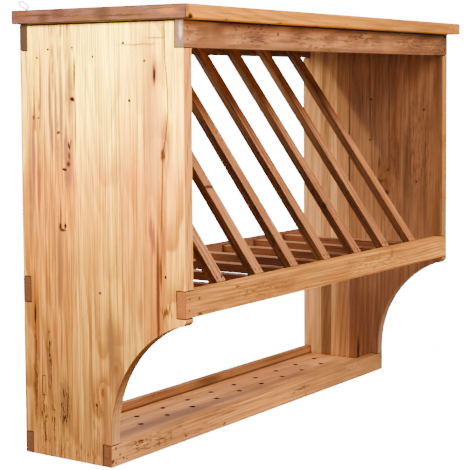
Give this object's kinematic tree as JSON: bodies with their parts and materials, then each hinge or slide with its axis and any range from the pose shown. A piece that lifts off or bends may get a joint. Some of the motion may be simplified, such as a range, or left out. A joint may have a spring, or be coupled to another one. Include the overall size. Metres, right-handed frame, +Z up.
{
  "type": "wall plate rack",
  "caption": "Waxed pine wall plate rack: scooped side panels, overhanging top board, let-in rails, sloping plate bars on floor slats and a perforated drain tray.",
  "frame": {"origin": "middle of the top back rail's back face, on the plane of the wall", "axes": "+X along the wall to the right seen from the front, +Y into the wall, -Y the open front, +Z up"},
  "size_m": [0.992, 0.377, 0.7934],
  "materials": {
    "panel_wood": "waxed pale pine with an upright grain and knots",
    "board_wood": "waxed honey pine, darker on the ends",
    "rail_wood": "waxed honey-brown pine with a long grain",
    "dark_rail_wood": "waxed red-brown pine",
    "bar_wood": "waxed tan pine strips with small dark knots",
    "slat_wood": "waxed pinkish pine strips",
    "tray_wood": "waxed pinkish-brown pine",
    "nail_steel": "dull dark nail heads",
    "eye_brass": "dull worn brass wire"
  },
  "bodies": {
    "root": {"left_side_panel": "panel_wood", "right_side_panel": "panel_wood", "top_board": "board_wood", "top_front_rail": "rail_wood", "top_back_rail": "dark_rail_wood", "middle_front_rail": "rail_wood", "middle_back_rail": "dark_rail_wood", "bottom_front_rail": "rail_wood", "bottom_back_rail": "dark_rail_wood", "drain_tray": "tray_wood", "plate_bar_1": "bar_wood", "plate_bar_2": "bar_wood", "plate_bar_3": "bar_wood", "plate_bar_4": "bar_wood", "plate_bar_5": "bar_wood", "plate_bar_6": "bar_wood", "plate_bar_7": "bar_wood", "floor_slat_1": "slat_wood", "floor_slat_2": "slat_wood", "floor_slat_3": "slat_wood", "floor_slat_4": "slat_wood", "floor_slat_5": "slat_wood", "floor_slat_6": "slat_wood", "floor_slat_7": "slat_wood", "rail_nails": "nail_steel", "bar_nails": "nail_steel", "tray_nails": "nail_steel", "top_board_nails": "nail_steel", "left_hanger_eye": "eye_brass", "right_hanger_eye": "eye_brass"}
  },
  "joints": []
}
